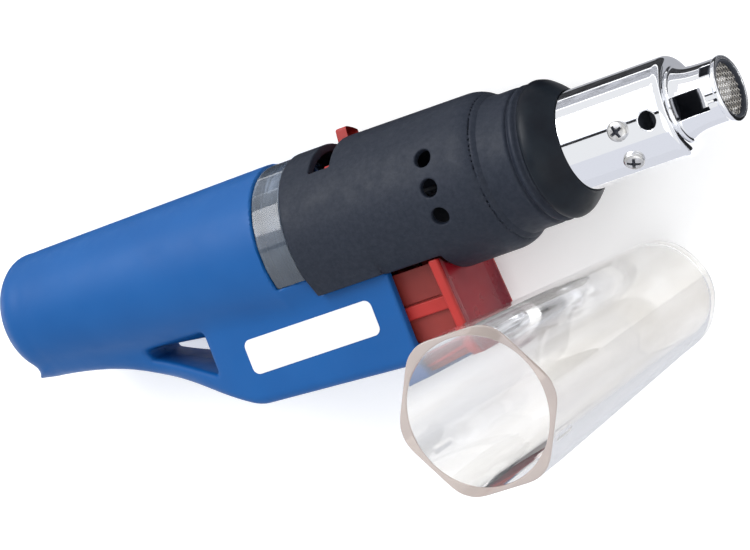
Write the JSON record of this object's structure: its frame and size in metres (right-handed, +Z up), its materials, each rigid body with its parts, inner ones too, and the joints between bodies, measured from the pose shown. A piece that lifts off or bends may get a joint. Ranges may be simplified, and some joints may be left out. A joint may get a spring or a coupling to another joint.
{
  "type": "butane torch",
  "caption": "Handheld butane torch with blue handle, black barrel, chrome burner nozzle, red trigger, flow lever and separate clear nose cap.",
  "frame": {"origin": "centre of the whole object's box on the floor plane that the lying torch and the standing cap rest on", "axes": "+X along the barrel axis towards the nozzle, +Y towards the flow lever side of the torch, +Z up, out of the side of the handle; the trigger and the cap are on the -Y side"},
  "size_m": [0.1988, 0.0802, 0.1027],
  "materials": {
    "blue_plastic": "fine satin moulded grain",
    "black_plastic": "matte heat-resistant moulding, fine grain",
    "rubber": "smooth satin",
    "smoke_plastic": "clear smoke-tinted, glossy",
    "red_plastic": "satin moulded",
    "chrome": "bright polished",
    "steel": "plain bright steel",
    "screw_steel": "plated",
    "brass": "machined",
    "copper": "drawn copper pipe",
    "ceramic": "unglazed",
    "white_plastic": "plain moulded",
    "seal_rubber": "smooth",
    "wire_sheath": "smooth high-voltage sheath",
    "label_film": "plain white printed film",
    "mesh_wire": "woven wire",
    "clear_plastic": "clear moulded, faintly warm"
  },
  "bodies": {
    "torch": {"handle_shell_right": "blue_plastic", "handle_shell_left": "blue_plastic", "handle_screws": "screw_steel", "label": "label_film", "fuel_tank": "smoke_plastic", "tank_head": "black_plastic", "tank_seal": "seal_rubber", "wick_tube": "white_plastic", "filler_valve": "brass", "filler_spring": "steel", "filler_seal": "seal_rubber", "valve_body": "brass", "valve_spring": "steel", "lever_pin": "steel", "flow_clip": "steel", "trigger_spring": "steel", "piezo_body": "white_plastic", "ignition_wire": "wire_sheath", "barrel_housing": "black_plastic", "nose_collar": "black_plastic", "nose_lip": "rubber", "insulator_sleeve": "ceramic", "burner_tube": "chrome", "burner_tip": "chrome", "tip_ring": "steel", "mesh_screen": "mesh_wire", "flame_holder": "ceramic", "burner_screws": "screw_steel", "mixing_tube": "brass", "gas_jet": "brass", "gas_pipe": "copper", "electrode": "steel", "electrode_insulator": "ceramic"},
    "trigger": {"trigger": "red_plastic", "piezo_plunger": "black_plastic"},
    "lever": {"valve_lever": "steel"},
    "stem": {"valve_stem": "steel"},
    "flow_control": {"flow_ring": "red_plastic"},
    "cap": {"cap": "clear_plastic"},
    "filler": {"filler_stem": "brass"}
  },
  "joints": [
    {"name": "trigger_slide", "type": "slide", "parent": "torch", "child": "trigger", "axis": [-1, 0, 0], "range_m": [0, 0.007], "stiffness_N_per_m": 900, "springref_m": -0.005, "deforming": ["trigger_spring"]},
    {"name": "lever_tilt", "type": "hinge", "parent": "torch", "child": "lever", "pos_m": [0.01043, 0.02787, 0.019], "axis": [0, 0, -1], "range_deg": [0, 17.55]},
    {"name": "stem_slide", "type": "slide", "parent": "torch", "child": "stem", "axis": [-1, 0, 0], "range_m": [0, 0.00278], "deforming": ["valve_spring"]},
    {"name": "flow_turn", "type": "hinge", "parent": "torch", "child": "flow_control", "pos_m": [-0.00097, 0.01887, 0.019], "axis": [1, 0, 0], "range_deg": [0, 48]},
    {"name": "cap_lift", "type": "slide", "parent": "torch", "child": "cap", "axis": [0, 0, 1], "range_m": [0, 0.11]},
    {"name": "filler_press", "type": "slide", "parent": "torch", "child": "filler", "axis": [1, 0, 0], "range_m": [0, 0.0012], "stiffness_N_per_m": 300, "springref_m": -0.002, "deforming": ["filler_spring"]}
  ],
  "couplings": [
    {"joint": "lever_tilt", "follows": "trigger_slide", "rad_per_m": 43},
    {"joint": "stem_slide", "follows": "trigger_slide", "ratio": 0.39}
  ]
}
